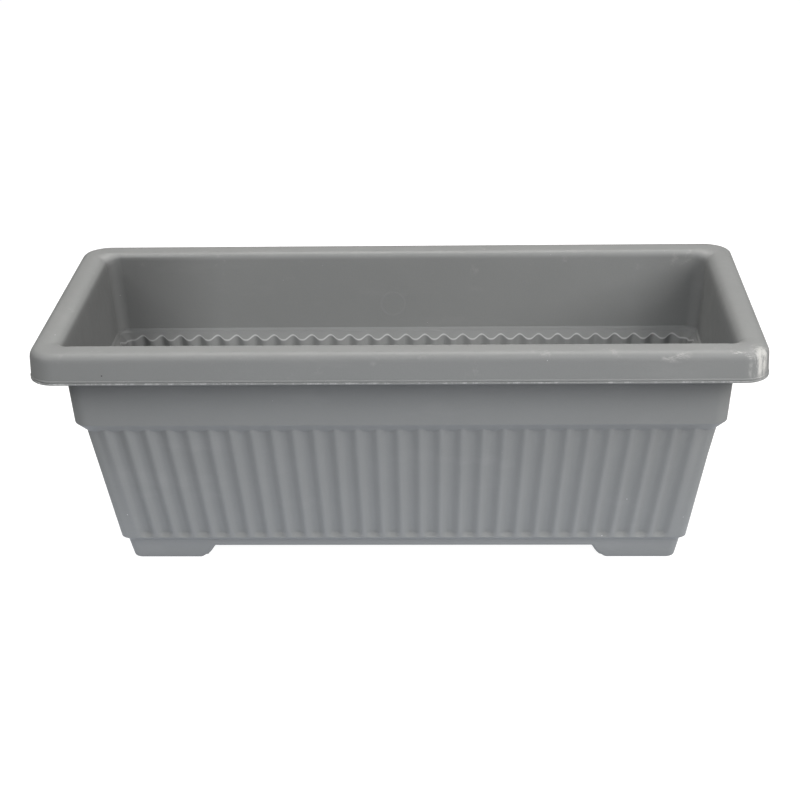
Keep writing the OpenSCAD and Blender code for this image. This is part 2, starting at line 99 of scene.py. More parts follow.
class Nodes:
    """A material's node tree with short calls for the nodes used here."""

    def __init__(self, name):
        self.material = bpy.data.materials.new(name)
        self.material.use_nodes = True
        self.tree = self.material.node_tree
        self.bsdf = self.tree.nodes["Principled BSDF"]
        self.coords = self.add("ShaderNodeTexCoord").outputs["Object"]

    def add(self, kind, **values):
        node = self.tree.nodes.new(kind)
        for key, value in values.items():
            setattr(node, key, value)
        return node

    def plug(self, socket, value):
        if isinstance(value, bpy.types.NodeSocket):
            self.tree.links.new(value, socket)
        else:
            socket.default_value = value

    def math(self, operation, a, b=0.0, clamp=False):
        node = self.add("ShaderNodeMath", operation=operation, use_clamp=clamp)
        self.plug(node.inputs[0], a)
        self.plug(node.inputs[1], b)
        return node.outputs[0]

    def stretch(self, scale):
        node = self.add("ShaderNodeMapping")
        self.plug(node.inputs["Vector"], self.coords)
        node.inputs["Scale"].default_value = scale
        return node.outputs[0]

    def noise(self, scale, detail=3.0, rough=0.5, vector=None):
        node = self.add("ShaderNodeTexNoise")
        self.plug(node.inputs["Vector"], vector or self.coords)
        node.inputs["Scale"].default_value = scale
        node.inputs["Detail"].default_value = detail
        node.inputs["Roughness"].default_value = rough
        return node.outputs["Fac"]

    def remap(self, value, low, high, to_low=0.0, to_high=1.0):
        node = self.add("ShaderNodeMapRange")
        self.plug(node.inputs["Value"], value)
        for key, number in zip(("From Min", "From Max", "To Min", "To Max"), (low, high, to_low, to_high)):
            self.plug(node.inputs[key], number)
        return node.outputs[0]

    def mix(self, factor, a, b, blend="MIX"):
        node = self.add("ShaderNodeMix", data_type="RGBA", blend_type=blend)
        self.plug(node.inputs[0], factor)
        self.plug(node.inputs[6], a)
        self.plug(node.inputs[7], b)
        return node.outputs[2]

    def specks(self, cell, radius, share):
        """Round specks, one in some of the cells: cell is their spacing and radius their size, in metres."""
        node = self.add("ShaderNodeTexVoronoi")
        self.plug(node.inputs["Vector"], self.coords)
        node.inputs["Scale"].default_value = 1 / cell
        near = self.remap(node.outputs["Distance"], radius / cell, 0.6 * radius / cell)
        red = self.add("ShaderNodeSeparateColor")
        self.plug(red.inputs[0], node.outputs["Color"])
        return self.math("MULTIPLY", near, self.math("LESS_THAN", red.outputs[0], share))

    def near(self, centre, radii):
        """1 in the middle of an ellipsoid, fading to 0 at its surface."""
        node = self.add("ShaderNodeVectorMath", operation="SUBTRACT")
        self.plug(node.inputs[0], self.coords)
        node.inputs[1].default_value = centre
        scaled = self.add("ShaderNodeVectorMath", operation="DIVIDE")
        self.plug(scaled.inputs[0], node.outputs[0])
        scaled.inputs[1].default_value = radii
        length = self.add("ShaderNodeVectorMath", operation="LENGTH")
        self.plug(length.inputs[0], scaled.outputs[0])
        return self.remap(length.outputs["Value"], 1.0, 0.45)

    def height(self, *layers):
        """Bump from (value, distance in metres) layers, coarse to fine."""
        normal = None
        for value, distance in layers:
            node = self.add("ShaderNodeBump")
            node.inputs["Distance"].default_value = distance
            self.plug(node.inputs["Height"], value)
            if normal:
                self.plug(node.inputs["Normal"], normal)
            normal = node.outputs[0]
        self.plug(self.bsdf.inputs["Normal"], normal)

    def set(self, **values):
        for key, value in values.items():
            self.plug(self.bsdf.inputs[key.replace("_", " ")], value)


def grey(value, tint=(1.0, 1.0, 1.0)):
    """An opaque colour: one value times a tint."""
    return (value * tint[0], value * tint[1], value * tint[2], 1.0)


# Marks on the trough, in metres. Rub marks on the front of the rim: distance in from the right end, half
# length along the rim, strength. Distances from the left end and the top of a speck on the skirt, and
# its radius. Place of the sprue mark inside the back wall: x, in from the rim, height; and its radius.
RUB_MARKS = ((0.028, 0.015, 1.0), (0.079, 0.016, 0.4))
SPECK_IN, SPECK_DOWN, SPECK_RADIUS = 0.0624, 0.0173, 0.0008
SPRUE_X, SPRUE_IN, SPRUE_Z, SPRUE_RADIUS = -0.012, 0.028, 0.168, 0.011
# Depth of the parting line under the rim's top, and its half width
PARTING_DOWN, PARTING_HALF = 0.0246, 0.0009
# Shade painted inside each end, where the photo is darker than the softboxes leave it: where it starts
# and is full, in from the end, and its strength
SHADE_LEFT, SHADE_RIGHT = (0.13, 0.05, 0.5), (0.09, 0.04, 0.22)


def trough_material():
    """Matte grey moulded plastic: mottled tone, flow marks, fine grain, dust and whitish scuffs; a painted
    highlight along the inner shoulder's edge and painted shade inside the ends.
    """
    n = Nodes("trough_grey")
    hx, hy, top = CAD_BOX[1][0], CAD_BOX[1][1], CAD_BOX[1][2]
    split = n.add("ShaderNodeSeparateXYZ")
    n.plug(split.inputs[0], n.coords)
    x, y, z = split.outputs

    tone = n.mix(n.noise(7.0, 4.0, 0.6), grey(0.181, (0.985, 1.01, 1.005)), grey(0.207, (0.985, 1.01, 1.0)))
    grain = n.noise(900.0, 2.0)
    tone = n.mix(n.remap(grain, 0.3, 0.7, 0.0, 0.35), tone, grey(0.212))
    flow = n.noise(9.0, 5.0, 0.65, n.stretch((1.0, 1.0, 3.5)))
    tone = n.mix(n.remap(flow, 0.56, 0.74, 0.0, 0.22), tone, grey(0.265, (1.0, 1.0, 0.99)))

    # Whitish rub marks: streaks down the rim's front right corner, two patches beside it, and a trace
    # along the rim
    on_rim = n.remap(z, top - 0.03, top - 0.012)
    upright = n.remap(n.noise(85.0, 6.0, 0.72, n.stretch((1.6, 1.6, 0.35))), 0.43, 0.56)
    along = n.remap(n.noise(70.0, 6.0, 0.75, n.stretch((0.6, 1.0, 1.5))), 0.5, 0.64)
    scuff = n.math("MULTIPLY", n.near((hx - 0.010, -hy + 0.008, top - 0.011), (0.014, 0.021, 0.015)), upright)
    scuff = n.math("MULTIPLY", scuff, 0.8)
    for offset, width, strength in RUB_MARKS:
        patch = n.near((hx - offset, -hy + 0.003, top - 0.003), (width, 0.008, 0.006))
        patch = n.math("MULTIPLY", n.math("MULTIPLY", patch, along), strength)
        scuff = n.math("MAXIMUM", scuff, patch)
    faint = n.math("MULTIPLY", on_rim, n.remap(n.noise(38.0, 7.0, 0.75), 0.6, 0.78, 0.0, 0.25))
    scuff = n.math("MAXIMUM", scuff, faint)
    tone = n.mix(scuff, tone, grey(0.58, (1.0, 0.985, 0.95)))

    # Painted highlight: a pale line along the inner shoulder's edge, where the edge catches the light; and
    # one dark speck on the skirt
    edge = n.add("ShaderNodeAttribute", attribute_name="painted_highlight").outputs["Fac"]
    tone = n.mix(n.math("MULTIPLY", edge, 0.75), tone, grey(0.45))
    speck = n.near((SPECK_IN - hx, -hy, top - SPECK_DOWN), (SPECK_RADIUS, 0.003, SPECK_RADIUS))
    tone = n.mix(speck, tone, grey(0.03))

    # Pale nicks along the parting line at the skirt's foot
    off_line = n.math("ABSOLUTE", n.math("SUBTRACT", z, top - PARTING_DOWN))
    parting = n.remap(off_line, PARTING_HALF, 0.45 * PARTING_HALF)
    nicks = n.remap(n.noise(150.0, 4.0, 0.7, n.stretch((1.0, 1.0, 0.2))), 0.5, 0.66, 0.0, 0.5)
    inner = n.add("ShaderNodeAttribute", attribute_name="inside").outputs["Fac"]
    parting = n.math("MULTIPLY", parting, n.remap(inner, 1.0, 0.0))
    tone = n.mix(n.math("MULTIPLY", parting, nicks), tone, grey(0.5))

    # Painted shade inside the ends, most of all at the left: it isn't dirt, and it doesn't follow the light
    left = n.remap(x, SHADE_LEFT[0] - hx, SHADE_LEFT[1] - hx, 0.0, SHADE_LEFT[2])
    right = n.remap(x, hx - SHADE_RIGHT[0], hx - SHADE_RIGHT[1], 0.0, SHADE_RIGHT[2])
    shade = n.math("MULTIPLY", inner, n.math("MAXIMUM", left, right))
    tone = n.mix(shade, tone, grey(0.03, (1.0, 0.99, 0.97)))

    # Dust, in two sizes
    dust = n.math("MAXIMUM", n.specks(0.024, 0.00055, 0.22), n.specks(0.0095, 0.00028, 0.16))
    tone = n.mix(n.math("MULTIPLY", dust, 0.75), tone, grey(0.62))

    # Sprue mark on the inside of the back wall
    centre = n.add("ShaderNodeVectorMath", operation="DISTANCE")
    n.plug(centre.inputs[0], n.coords)
    centre.inputs[1].default_value = (SPRUE_X, hy - SPRUE_IN, SPRUE_Z)
    off_ring = n.math("ABSOLUTE", n.math("SUBTRACT", centre.outputs["Value"], SPRUE_RADIUS))
    ring = n.remap(off_ring, 0.0014, 0.0003)
    tone = n.mix(n.math("MULTIPLY", ring, 0.1), tone, grey(0.3))

    rough = n.remap(n.noise(24.0, 5.0, 0.6), 0.3, 0.7, 0.5, 0.64)
    rough = n.math("ADD", rough, n.math("MULTIPLY", scuff, 0.25), clamp=True)
    n.set(Base_Color=tone, Roughness=rough, Specular_IOR_Level=0.45)
    n.height(
        (n.noise(28.0, 3.0), 0.00045),
        (ring, 0.00006),
        (scuff, 0.0001),
        (n.noise(650.0, 2.0), 0.00006),
        (dust, 0.0002),
    )
    return n.material


def moulded_material(name, colour, rough=0.4, mottling=0.12, grain=0.00004, wear=0.3):
    """Moulded plastic with mottled tone, a fine grain and paler rubbed patches."""
    n = Nodes(name)
    dark = tuple(c * (1 - mottling) for c in colour[:3]) + (1.0,)
    light = tuple(min(1.0, c * (1 + mottling)) for c in colour[:3]) + (1.0,)
    tone = n.mix(n.noise(30.0, 4.0, 0.6), dark, light)
    rub = n.remap(n.noise(85.0, 6.0, 0.7), 0.6, 0.76, 0.0, wear)
    chalk = tuple(0.6 * c + 0.1 for c in colour[:3]) + (1.0,)
    tone = n.mix(rub, tone, chalk)
    tone = n.mix(n.math("MULTIPLY", n.specks(0.011, 0.0003, 0.2), 0.6), tone, grey(0.5))
    n.set(Base_Color=tone, Roughness=n.remap(n.noise(60.0, 4.0), 0.3, 0.7, rough - 0.07, rough + 0.1))
    n.height((n.noise(40.0, 2.0), 0.0002), (n.noise(1100.0, 2.0), grain))
    return n.material


def clear_material():
    """Clear moulded plastic, with a faint haze and scratches."""
    n = Nodes("clear_plastic")
    haze = n.noise(45.0, 5.0, 0.6)
    scratch = n.noise(240.0, 3.0, 0.6, n.stretch((1.0, 1.0, 0.06)))
    n.set(
        Base_Color=n.mix(haze, (0.86, 0.93, 0.94, 1.0), (0.93, 0.97, 0.97, 1.0)),
        Roughness=n.remap(scratch, 0.45, 0.75, 0.05, 0.28),
        IOR=1.49,
        Transmission_Weight=0.95,
    )
    n.height((scratch, 0.00003))
    return n.material


def steel_material():
    """Drawn stainless wire, with fine lines along it."""
    n = Nodes("drawn_steel")
    drawn = n.noise(420.0, 3.0, 0.6, n.stretch((0.05, 1.0, 1.0)))
    n.set(
        Base_Color=n.mix(drawn, grey(0.5), grey(0.68)),
        Metallic=1.0,
        Roughness=n.remap(drawn, 0.3, 0.7, 0.22, 0.42),
    )
    n.height((drawn, 0.00003))
    return n.material


def rubber_material():
    """Matte black rubber."""
    n = Nodes("seal_rubber")
    n.set(
        Base_Color=n.mix(n.noise(90.0, 4.0), grey(0.012), grey(0.03)),
        Roughness=n.remap(n.noise(180.0, 4.0), 0.3, 0.7, 0.6, 0.85),
    )
    n.height((n.noise(700.0, 3.0), 0.00006))
    return n.material


def foam_material():
    """Closed-cell foam: small cells over a soft mottle."""
    n = Nodes("float_foam")
    cells = n.add("ShaderNodeTexVoronoi", feature="DISTANCE_TO_EDGE")
    n.plug(cells.inputs["Vector"], n.coords)
    cells.inputs["Scale"].default_value = 900.0
    wall = n.remap(cells.outputs["Distance"], 0.0, 0.35)
    n.set(
        Base_Color=n.mix(n.noise(55.0, 4.0), grey(0.7, (1, 0.98, 0.92)), grey(0.84, (1, 0.985, 0.94))),
        Roughness=0.75,
    )
    n.height((wall, 0.00022))
    return n.material


def felt_material():
    """Needled felt: matted fibres in two directions, a soft nap and a damp tint low down."""
    n = Nodes("wick_felt")
    along = n.noise(420.0, 6.0, 0.75, n.stretch((1.0, 0.16, 1.0)))
    across = n.noise(460.0, 6.0, 0.75, n.stretch((0.2, 1.0, 0.4)))
    fibres = n.math("MAXIMUM", along, across)
    split = n.add("ShaderNodeSeparateXYZ")
    n.plug(split.inputs[0], n.coords)
    tone = n.mix(n.remap(fibres, 0.42, 0.72), grey(0.5, (1, 0.96, 0.86)), grey(0.8, (1, 0.97, 0.9)))
    tone = n.mix(n.remap(n.noise(70.0, 4.0), 0.45, 0.75, 0.0, 0.4), tone, grey(0.6, (1, 0.95, 0.85)))
    damp = n.remap(split.outputs[2], 0.045, 0.022, 0.0, 0.55)
    tone = n.mix(damp, tone, grey(0.34, (1, 0.93, 0.78)))
    n.set(Base_Color=tone, Roughness=0.95, Sheen_Weight=0.35, Sheen_Roughness=0.6)
    n.height((n.noise(120.0, 3.0), 0.0006), (fibres, 0.0005))
    return n.material


MATERIALS = {
    "trough_grey": trough_material(),
    "insert_dark": moulded_material("insert_dark", (0.034, 0.036, 0.037), 0.42),
    "felt": felt_material(),
    "lid_blue": moulded_material("lid_blue", (0.03, 0.12, 0.3), 0.32, wear=0.15),
    "steel": steel_material(),
    "float_foam": foam_material(),
    "rod_white": moulded_material("rod_white", (0.72, 0.72, 0.69), 0.3, 0.05, wear=0.1),
    "flag_red": moulded_material("flag_red", (0.56, 0.03, 0.02), 0.28, wear=0.1),
    "clear": clear_material(),
    "seal": rubber_material(),
}

# ---------------------------------------------------------------- the trough

# Driving sizes of the trough in millimetres; the outer box comes from the frame.
# Insets are measured inward from the rim's outer face.
LENGTH, WIDTH, TOP = [(CAD_BOX[1][i] - CAD_BOX[0][i]) / MM for i in range(3)]
WALL = 2.6
SKIRT = 25.8
FOOT = 13.0
FLOOR_TOP = FOOT + 3.0
SLOPE = 0.8
CREST_IN, CREST_Z = 33.2, 136.8
EDGE_IN, EDGE_Z = CREST_IN - 4.8, CREST_Z + 6.0
FLUTE, LOW_FLUTE = 4.2, 3.7
CORNER_OUT = 0.9 * FLUTE
CORNER_IN, CORNER_Z = CREST_IN + CORNER_OUT, CREST_Z - CORNER_OUT * SLOPE
LIP_IN, LIP_Z = 55.2, 23.4
LIP_TOP = LIP_Z + 0.6
# Exponents of the crests' cosine: the wall's thickness makes the inner face's hollows narrower
OUTER_POWER, INNER_POWER = 1.3, 1.25
# How far the shoulder's edge lies above the outer one on the inside, and the reach of the highlight painted
# along it
INNER_LIFT, HIGHLIGHT_REACH = 3.2, 1.2
BASE_IN = 60.4
# Depth of the rim's rounding on the inside; below it the wall counts as inside
RIM_DEPTH = 7.0
# Ribs on a long and on an end wall, and the mesh's columns per rib and per corner
RIBS = (29, 10)
PER_PITCH, CORNER_STEPS = 16, 16
# Angle of a column that isn't on a corner's arc, and the gap between the last rib and the arc
NO_ARC, END_GAP = 999.0, 0.2
# Where the feet's inner ends start, in x and y, how long they slope, and how far the feet draw in downward
FOOT_X, FOOT_Y, FOOT_RAMP, FOOT_DRAFT = 165.6, 29.5, 6.0, 3.4
# Depth of the flat floor from its edge to the innermost ring, and the rings' spacing
FLOOR_DEPTH, FLOOR_STEP = 46.5, 1.5
# Round holes in the floor: the node that fills each, and the radius
FLOOR_HOLES, HOLE_POINTS = [("drain_plug", 10.0), ("overflow_pipe", 8.0)], 48


def down_to_lip(start, start_z, end, z):
    """Value at height z of a straight line from start at start_z to end at the lip's top."""
    return start + (end - start) * (start_z - z) / (start_z - LIP_TOP)


def corner_at(z):
    """The corners' inset at height z."""
    return down_to_lip(CORNER_IN, CORNER_Z, LIP_IN, z)


def columns():
    """The trough's plan as columns.

    Each is (side, place along it from -1 to 1, corner angle, phase in pitches, end flag).
    """
    rows = []
    for side in range(4):
        ribs = RIBS[side % 2]
        steps = ribs * PER_PITCH
        for i in range(steps + 1):
            near_end = min(i, steps - i) < PER_PITCH / 2
            rows.append((side, 2 * i / steps - 1, NO_ARC, i / PER_PITCH - 0.5, near_end))
        for j in range(CORNER_STEPS + 1):
            rows.append((side, 1.0, 90.0 * j / CORNER_STEPS - 90.0, 0.5, 1.0))
    return np.array(rows)


COLUMNS = columns()


def cut(z, power, depth=None):
    """How far each column lies behind the corner's inset at height z: negative on the crests."""
    relief = ((1 + np.cos(2 * np.pi * COLUMNS[:, 3])) / 2) ** power
    share = np.clip(down_to_lip(1.0, CORNER_Z, 0.0, z), 0.0, 1.0)
    out = CORNER_OUT * share
    flute = LOW_FLUTE + (FLUTE - LOW_FLUTE) * share if depth is None else depth
    return np.where(COLUMNS[:, 4] > 0.5, out, flute) * (1 - relief) - out


def plan(inset, corner, radius):
    """x and y of every column at one row; the corner's inset spaces the ribs and places the arcs."""
    side, along, angle = COLUMNS[:, 0].astype(int), COLUMNS[:, 1], COLUMNS[:, 2]
    odd = side % 2 == 1
    half = np.where(odd, WIDTH, LENGTH) / 2 - corner
    dist = np.where(odd, LENGTH, WIDTH) / 2 - inset
    t = along * (half - radius - END_GAP)
    d = -dist
    a = np.radians(angle)
    arc = angle != NO_ARC
    t = np.where(arc, half - radius + radius * np.cos(a), t)
    d = np.where(arc, radius - dist + radius * np.sin(a), d)
    x = np.choose(side, [t, -d, -t, d])
    y = np.choose(side, [d, t, -d, -t])
    return x, y


def by_side(long_side, end_side):
    """One value per column, from the long walls' to the end walls', blended round the corners."""
    odd = COLUMNS[:, 0] % 2
    turned = np.where(COLUMNS[:, 2] == NO_ARC, 0.0, (COLUMNS[:, 2] + 90.0) / 90.0)
    return long_side + (end_side - long_side) * (odd + (1 - 2 * odd) * turned)


def rounded(points, steps=5):
    """Rounds a section's corners.

    Each point is (inset, plan inset, z, plan radius, fillet), as arrays or numbers.
    """
    count = len(COLUMNS)
    pts = [np.stack([np.broadcast_to(np.asarray(v, float), count) for v in p]) for p in points]
    rows = [pts[0][:4]]
    for before, here, after in zip(pts, pts[1:], pts[2:]):
        fillet = here[4]
        if float(fillet.max()) <= 0:
            rows.append(here[:4])
            continue
        a, b = before[[0, 2]] - here[[0, 2]], after[[0, 2]] - here[[0, 2]]
        la, lb = np.hypot(*a), np.hypot(*b)
        cosine = np.clip((a * b).sum(0) / (la * lb), -1, 1)
        reach = fillet / np.tan(np.arccos(cosine) / 2)
        reach = np.minimum(reach, np.minimum(la, lb) * 0.48)
        start = here[:4] + (before[:4] - here[:4]) * (reach / la)
        end = here[:4] + (after[:4] - here[:4]) * (reach / lb)
        for k in range(steps + 1):
            s = k / steps
            rows.append((1 - s) ** 2 * start + 2 * s * (1 - s) * here[:4] + s * s * end)
    rows.append(pts[-1][:4])
    return rows


def subdivided(rows, longest):
    """Adds rows so that none is further than longest from the next."""
    out = [rows[0]]
    for a, b in zip(rows, rows[1:]):
        gap = float(np.max(np.hypot(b[0] - a[0], b[2] - a[2])))
        pieces = max(1, math.ceil(gap / longest))
        out += [a + (b - a) * k / pieces for k in range(1, pieces + 1)]
    return out


def foot_share(x, y, grow=0.0):
    """1 on the feet's pads, 0 on the floor between them."""
    share = np.minimum(
        ramp(np.abs(x), FOOT_X + grow, FOOT_X + FOOT_RAMP + grow),
        ramp(np.abs(y), FOOT_Y + grow, FOOT_Y + FOOT_RAMP + grow),
    )
    return 0.5 * share + 0.5 * smooth(share)


def toward(here, there, distance):
    """A plain row at the given distance from one row of the section toward another."""
    a, b = [[np.asarray(v, float) for v in row[:4]] for row in (here, there)]
    share = distance / np.hypot(b[0] - a[0], b[2] - a[2])
    return tuple(p + (q - p) * share for p, q in zip(a, b)) + (0,)


def wall_rows():
    """The wall's section, up the inside, over the rim and down the outside, as rows of columns."""
    bottom = TOP - SKIRT
    scoop_z, inner_scoop_z = LIP_TOP + 4.2, LIP_TOP + 9.0
    crest_r, lip_r, band_r = 7.6, 6.8, 13.0

    def plain(inset, z, radius, fillet):
        return inset, inset, z, radius, fillet

    def ribbed(z, power, radius, fillet, wall=0.0):
        inset = corner_at(z) + wall
        return inset + cut(z, power), inset, z, radius - wall, fillet

    def shoulder(power, fillet, wall=0.0, lift=0.0):
        behind = cut(CORNER_Z, power)
        inset = CORNER_IN + wall
        return inset + behind, inset, CORNER_Z + lift - SLOPE * behind, crest_r - wall, fillet

    inner_wall = ribbed(inner_scoop_z, INNER_POWER, lip_r, 5, WALL)
    inner_edge = shoulder(INNER_POWER, 0.8, WALL, INNER_LIFT)
    inner_ledge = plain(EDGE_IN + WALL + 2.2, EDGE_Z - 0.3, band_r - WALL, 1.2)
    inside = [
        plain(BASE_IN + 7.0, FLOOR_TOP, 6, 0),
        plain(BASE_IN + 3.4, FLOOR_TOP, 7, 5),
        plain(BASE_IN + 1.0, LIP_TOP + 1.0, 6.5, 5),
        inner_wall,
        # Rows at the painted highlight's reach on each side of the inner shoulder's edge
        toward(inner_edge, inner_wall, HIGHLIGHT_REACH),
        inner_edge,
        toward(inner_edge, inner_ledge, HIGHLIGHT_REACH),
        inner_ledge,
        plain(EDGE_IN + WALL + 1.4, EDGE_Z + 1.5, band_r - WALL, 0.3),
        plain(EDGE_IN + WALL, EDGE_Z + 2.9, band_r - WALL, 0.15),
        plain(by_side(26.2, 24.2), TOP, 12, by_side(6.5, 12.6)),
    ]
    rim = [
        plain(0.8, TOP, 22, 7.4),
        plain(0.4, bottom + 4.1, 22, 0.3),
        plain(0.0, bottom + 3.3, 22, 0.3),
        plain(0.0, bottom + 2.6, 22, 0.15),
        plain(0.7, bottom + 2.2, 22, 0.1),
        plain(0.0, bottom + 1.1, 22, 0.3),
        plain(0.3, bottom, 22, 0.5),
        plain(2.8, bottom, 20, 0.7),
        plain(3.8, TOP - 3.0, 18.5, 4.0),
        plain(23.0, TOP - 3.0, 14, 4.0),
    ]
    outside = [
        plain(EDGE_IN, EDGE_Z, band_r, 1.6),
        shoulder(OUTER_POWER, 1.2),
        ribbed(scoop_z, OUTER_POWER, lip_r, 2.0),
        plain(LIP_IN, LIP_TOP, lip_r, 0.8),
        plain(LIP_IN + 0.5, LIP_Z, lip_r, 0.8),
        plain(BASE_IN - 0.6, LIP_Z - 3.6, lip_r, 1.6),
    ]
    low_in = BASE_IN
    for _ in range(3):
        down = foot_share(*plan(low_in, low_in, lip_r))
        low_in = BASE_IN + FOOT_DRAFT * down
    inner_in = low_in + 8
    inner_down = foot_share(*plan(inner_in, inner_in, lip_r))
    outside += [
        (low_in, low_in, FOOT * (1 - down), lip_r, 2.8),
        (inner_in, inner_in, FOOT * (1 - inner_down), lip_r, 0),
    ]
    return subdivided(rounded(inside + rim + outside), 9.0)


def painted_highlight(inset, z):
    """1 on the edge of the inner shoulder, where a highlight is painted, and 0 away from it."""
    behind = cut(CORNER_Z, INNER_POWER)
    away = np.hypot(inset - CORNER_IN - WALL - behind, z - CORNER_Z - INNER_LIFT + SLOPE * behind)
    return 1 - ramp(away, 0.3 * HIGHLIGHT_REACH, HIGHLIGHT_REACH)


def trough_points():
    """Rings of x, y, z, share of the painted highlight and a flag for the inside.

    They run from the inner floor's middle, up the wall and over the rim, to the underside's middle.
    """
    rings = []
    inside = 1.0

    def add(inset, plan_inset, z, radius, height=None):
        x, y = plan(inset, plan_inset, radius)
        z = np.broadcast_to(z, x.shape) if height is None else height(x, y)
        rings.append(np.stack([x, y, z, painted_highlight(inset, z), np.full(x.shape, inside)], axis=1))

    floor_start = BASE_IN + 7.0
    insets = np.arange(FLOOR_DEPTH, FLOOR_STEP / 2, -FLOOR_STEP)
    for d in insets:
        inner = ramp(d, 0.5, 5.0)
        add(
            floor_start + d, floor_start + d, 0, 7,
            lambda x, y: FLOOR_TOP - FOOT * foot_share(x, y, 4.5) * inner,
        )
    for row in wall_rows():
        if row[2].min() > TOP - RIM_DEPTH:
            inside = 0.0
        add(row[0], row[1], row[2], row[3])
    base_end = BASE_IN + 8
    for d in insets[::-1]:
        add(base_end + d, base_end + d, 0, 8, lambda x, y: FOOT * (1 - foot_share(x, y)))
    return rings


def close_floor(mesh_bm, ring, holes, upward):
    """Fills a flat ring of vertices, leaving the given loops of hole vertices open."""
    edges = []
    for loop in [ring] + holes:
        for a, b in zip(loop, loop[1:] + loop[:1]):
            edges.append(mesh_bm.edges.get((a, b)) or mesh_bm.edges.new((a, b)))
    result = bmesh.ops.triangle_fill(mesh_bm, use_beauty=True, edges=edges)
    faces = [g for g in result["geom"] if isinstance(g, bmesh.types.BMFace)]
    for face in faces:
        face.normal_update()
        if (face.normal.z > 0) != upward:
            face.normal_flip()


def build_trough():
    """The trough as one closed mesh: the rings joined up, the floors filled round their holes."""
    rings = trough_points()
    count = len(COLUMNS)
    points = np.concatenate(rings)
    mesh_bm = bmesh.new()
    # Per vertex, the share of the painted highlight along the inner shoulder's edge
    highlight_share = mesh_bm.verts.layers.float.new("painted_highlight")
    inner = mesh_bm.verts.layers.float.new("inside")
    verts = []
    for x, y, z, share, inside in points:
        verts.append(mesh_bm.verts.new((x * MM, y * MM, z * MM)))
        verts[-1][highlight_share], verts[-1][inner] = share, inside
    for r in range(len(rings) - 1):
        a, b = r * count, (r + 1) * count
        for i in range(count):
            j = (i + 1) % count
            mesh_bm.faces.new((verts[a + i], verts[b + i], verts[b + j], verts[a + j]))
    loops = {True: [], False: []}
    for node, radius in FLOOR_HOLES:
        low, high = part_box(node)
        cx, cy = (low.x + high.x) / 2, (low.y + high.y) / 2
        turn = [math.tau * k / HOLE_POINTS for k in range(HOLE_POINTS)]
        circle = [(cx + radius * MM * math.cos(a), cy + radius * MM * math.sin(a)) for a in turn]
        pair = [[mesh_bm.verts.new((px, py, z * MM)) for px, py in circle] for z in (FOOT, FLOOR_TOP)]
        for k in range(HOLE_POINTS):
            m = (k + 1) % HOLE_POINTS
            mesh_bm.faces.new((pair[0][k], pair[1][k], pair[1][m], pair[0][m]))
        loops[False].append(pair[0])
        loops[True].append(pair[1])
    close_floor(mesh_bm, verts[:count], loops[True], True)
    close_floor(mesh_bm, verts[-count:], loops[False], False)
    bmesh.ops.remove_doubles(mesh_bm, verts=mesh_bm.verts, dist=1e-6)
    bmesh.ops.recalc_face_normals(mesh_bm, faces=mesh_bm.faces)
    mesh = bpy.data.meshes.new("planter_trough")
    mesh_bm.to_mesh(mesh)
    mesh_bm.free()
    mesh.shade_smooth()
    mesh.materials.append(MATERIALS["trough_grey"])
    obj = bpy.data.objects.new("planter_trough", mesh)
    bpy.context.scene.collection.objects.link(obj)
    obj.modifiers.new("weighted", "WEIGHTED_NORMAL").keep_sharp = True
    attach(obj, "trough")
    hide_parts("trough")
    return obj


build_trough()

# ---------------------------------------------------------------- the felt wicks

# Half distances in millimetres from the cup's axis at which a wick folds down and lies on the cup's floor
FOLD_TOP, FOLD_LOW = 18.6, 12.4
FELT_HALF_T = 1.35
FOLD_RADIUS = 5.0
RING_POINTS = 44


def felt_line(reach, high, low):
    """Middle line of a wick, as y and z in millimetres every millimetre, with its folds rounded."""
    half = [(FOLD_LOW, low), (FOLD_TOP, high), (reach, high)]
    points = [Vector((-y, z)) for y, z in reversed(half)] + [Vector(corner) for corner in half]
    line = [points[0]]
    for before, here, after in zip(points, points[1:], points[2:]):
        start = here + (before - here).normalized() * FOLD_RADIUS
        end = here + (after - here).normalized() * FOLD_RADIUS
        for k in range(7):
            s = k / 6
            line.append(start * (1 - s) ** 2 + here * (2 * s * (1 - s)) + end * s * s)
    line.append(points[-1])
    even = [line[0]]
    for a, b in zip(line, line[1:]):
        pieces = max(1, round((b - a).length))
        even += [a + (b - a) * k / pieces for k in range(1, pieces + 1)]
    return even


